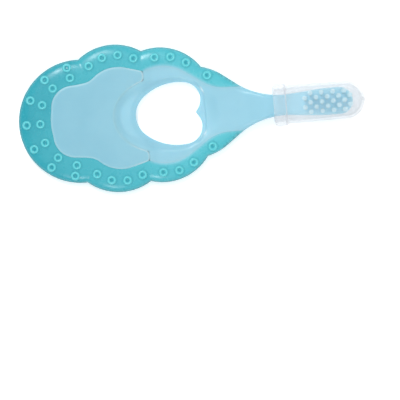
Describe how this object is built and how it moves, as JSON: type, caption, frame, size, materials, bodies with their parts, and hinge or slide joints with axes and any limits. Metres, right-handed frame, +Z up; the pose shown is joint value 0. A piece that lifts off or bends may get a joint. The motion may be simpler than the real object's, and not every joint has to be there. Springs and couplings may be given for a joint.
{
  "type": "training toothbrush",
  "caption": "Short training toothbrush with a scalloped soft-rimmed paddle grip, a heart-shaped finger opening, a tufted head and a clear slip-on cap.",
  "frame": {"origin": "middle of the bounding box in X and Y, on the plane of the rim's flat back, which the brush lies on", "axes": "+X from the end of the grip to the tip of the cap, +Y across the grip, +Z up on the bristle side"},
  "size_m": [0.1247, 0.0532, 0.0177],
  "materials": {
    "core_plastic": "moulded translucent pale blue polypropylene",
    "soft_rim": "overmoulded teal thermoplastic elastomer with a soft sheen",
    "thumb_pad": "moulded pale blue thermoplastic elastomer, satin",
    "clear_cap": "moulded clear polypropylene, glossy",
    "bristle": "extruded soft nylon filament, end-rounded",
    "anchor_metal": "stamped flat wire"
  },
  "bodies": {
    "brush": {"handle_core": "core_plastic", "grip_rim": "soft_rim", "thumb_pad": "thumb_pad", "tuft_01": "bristle", "tuft_02": "bristle", "tuft_03": "bristle", "tuft_04": "bristle", "tuft_05": "bristle", "tuft_06": "bristle", "tuft_07": "bristle", "tuft_08": "bristle", "tuft_09": "bristle", "tuft_10": "bristle", "tuft_11": "bristle", "tuft_12": "bristle", "tuft_13": "bristle", "tuft_14": "bristle", "tuft_15": "bristle", "tuft_16": "bristle", "tuft_17": "bristle", "tuft_18": "bristle", "tuft_19": "bristle", "tuft_20": "bristle", "tuft_21": "bristle", "tuft_22": "bristle", "anchor_01": "anchor_metal", "anchor_02": "anchor_metal", "anchor_03": "anchor_metal", "anchor_04": "anchor_metal", "anchor_05": "anchor_metal", "anchor_06": "anchor_metal", "anchor_07": "anchor_metal", "anchor_08": "anchor_metal", "anchor_09": "anchor_metal", "anchor_10": "anchor_metal", "anchor_11": "anchor_metal", "anchor_12": "anchor_metal", "anchor_13": "anchor_metal", "anchor_14": "anchor_metal", "anchor_15": "anchor_metal", "anchor_16": "anchor_metal", "anchor_17": "anchor_metal", "anchor_18": "anchor_metal", "anchor_19": "anchor_metal", "anchor_20": "anchor_metal", "anchor_21": "anchor_metal", "anchor_22": "anchor_metal"},
    "cap": {"cap": "clear_cap"}
  },
  "joints": [
    {"name": "cap_pull", "type": "slide", "parent": "brush", "child": "cap", "axis": [1, 0, 0], "range_m": [0, 0.04]}
  ]
}
